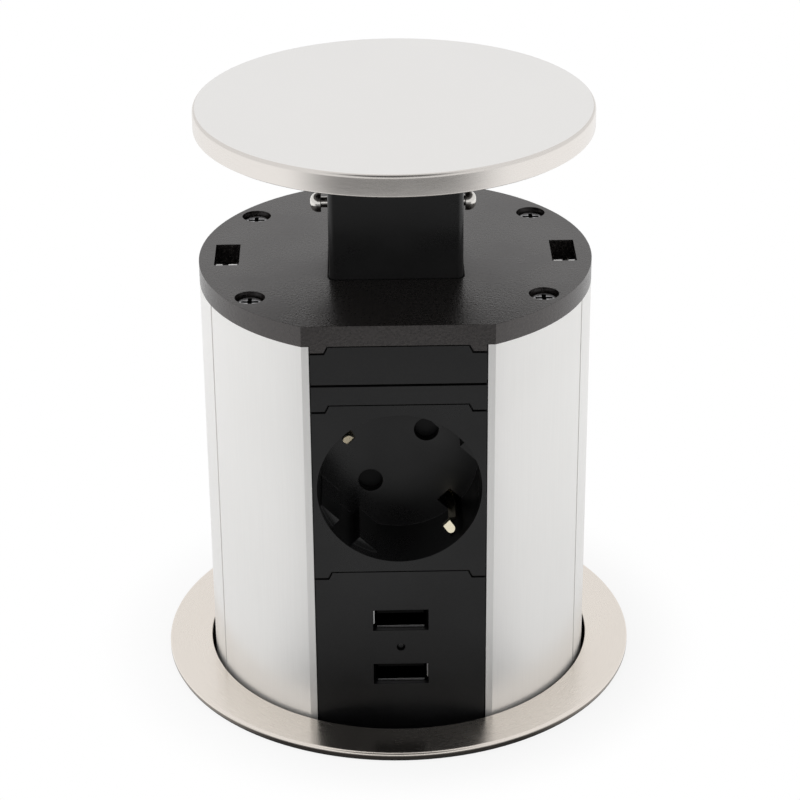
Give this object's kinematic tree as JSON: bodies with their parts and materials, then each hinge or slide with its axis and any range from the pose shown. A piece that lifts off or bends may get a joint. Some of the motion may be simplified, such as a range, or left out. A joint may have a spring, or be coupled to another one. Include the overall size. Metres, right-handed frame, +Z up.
{
  "type": "recessed power strip",
  "caption": "Round pop-up worktop power tower with earthed outlets, charging ports and a sprung lid on a square post, clamped in the worktop by a ring nut.",
  "frame": {"origin": "on the tower's axis at the worktop's surface, under the trim ring's seal", "axes": "+Z up along the tower, -Y out of the front socket, +X to the right seen from the front"},
  "size_m": [0.122, 0.122, 0.2317],
  "materials": {
    "stainless": "fine brushed",
    "seal_rubber": "matte",
    "collar_plastic": "moulded satin",
    "felt": "pressed felt",
    "zinc_steel": "zinc plated",
    "shell_aluminium": "satin anodised",
    "plate_plastic": "fine grained",
    "post_plastic": "satin",
    "panel_plastic": "satin",
    "socket_plastic": "satin",
    "shutter_plastic": "satin",
    "terminal_plastic": "matte",
    "gland_plastic": "satin",
    "blade_plastic": "matte",
    "port_steel": "nickel plated",
    "spring_steel": "bright drawn",
    "contact_brass": "drawn",
    "board": "coated laminate",
    "ferrite": "sintered",
    "capacitor_can": "coated film",
    "lamp_lens": "diffuse"
  },
  "bodies": {
    "collar": {"trim_ring": "stainless", "seal_ring": "seal_rubber", "threaded_collar": "collar_plastic", "guide_blocks": "collar_plastic", "brake_pads": "felt"},
    "washer": {"clamp_washer": "zinc_steel"},
    "nut": {"ring_nut": "collar_plastic"},
    "lid": {"lid_cap": "stainless", "lid_base": "plate_plastic", "lid_post": "post_plastic", "cross_pin": "zinc_steel"},
    "front_shutter_vane": {"front_shutter": "shutter_plastic"},
    "back_shutter_vane": {"back_shutter": "shutter_plastic"},
    "tower": {"left_shell": "shell_aluminium", "right_shell": "shell_aluminium", "top_plate": "plate_plastic", "top_plate_screws": "zinc_steel", "foot_plate": "plate_plastic", "cable_gland": "gland_plastic", "gland_nut": "gland_plastic", "post_guide": "plate_plastic", "lid_spring": "spring_steel", "usb_panel": "panel_plastic", "usb_port_upper": "port_steel", "usb_port_lower": "port_steel", "usb_blades": "blade_plastic", "lamp_lens": "lamp_lens", "usb_board": "board", "usb_transformer": "ferrite", "usb_capacitors": "capacitor_can", "usb_feed_strips": "contact_brass", "live_bar": "contact_brass", "neutral_bar": "contact_brass", "earth_bar": "contact_brass", "terminal_block": "terminal_plastic", "back_cover_panel": "panel_plastic", "front_blank_panel": "panel_plastic", "front_filler_strip": "panel_plastic", "front_lower_panel": "panel_plastic", "front_socket_face": "socket_plastic", "front_contact_carrier": "terminal_plastic", "front_contact_sleeves": "contact_brass", "front_earth_bracket": "spring_steel", "front_shutter_spring": "spring_steel", "back_blank_panel": "panel_plastic", "back_filler_strip": "panel_plastic", "back_lower_panel": "panel_plastic", "back_socket_face": "socket_plastic", "back_contact_carrier": "terminal_plastic", "back_contact_sleeves": "contact_brass", "back_earth_bracket": "spring_steel", "back_shutter_spring": "spring_steel"}
  },
  "joints": [
    {"name": "tower_slide", "type": "slide", "parent": "collar", "child": "tower", "axis": [0, 0, 1], "range_m": [-0.1424, 0]},
    {"name": "lid_press", "type": "slide", "parent": "tower", "child": "lid", "axis": [0, 0, 1], "range_m": [-0.011, 0], "stiffness_N_per_m": 300, "springref_m": 0.012, "deforming": ["lid_spring"]},
    {"name": "nut_spin", "type": "hinge", "parent": "washer", "child": "nut", "pos_m": [0, 0, -0.047], "axis": [0, 0, 1], "range_deg": [-648, 1152]},
    {"name": "washer_slide", "type": "slide", "parent": "collar", "child": "washer", "axis": [0, 0, 1], "range_m": [-0.009, 0.016]},
    {"name": "front_shutter_turn", "type": "hinge", "parent": "tower", "child": "front_shutter_vane", "pos_m": [0, -0.0208, 0.06405], "axis": [0, 1, 0], "range_deg": [0, 41.5], "stiffness_Nm_per_rad": 0.002, "springref_deg": -20.05},
    {"name": "back_shutter_turn", "type": "hinge", "parent": "tower", "child": "back_shutter_vane", "pos_m": [0, 0.0208, 0.06405], "axis": [0, -1, 0], "range_deg": [0, 41.5], "stiffness_Nm_per_rad": 0.002, "springref_deg": -20.05}
  ],
  "couplings": [
    {"joint": "washer_slide", "follows": "nut_spin", "m_per_rad": 0.00079577}
  ]
}
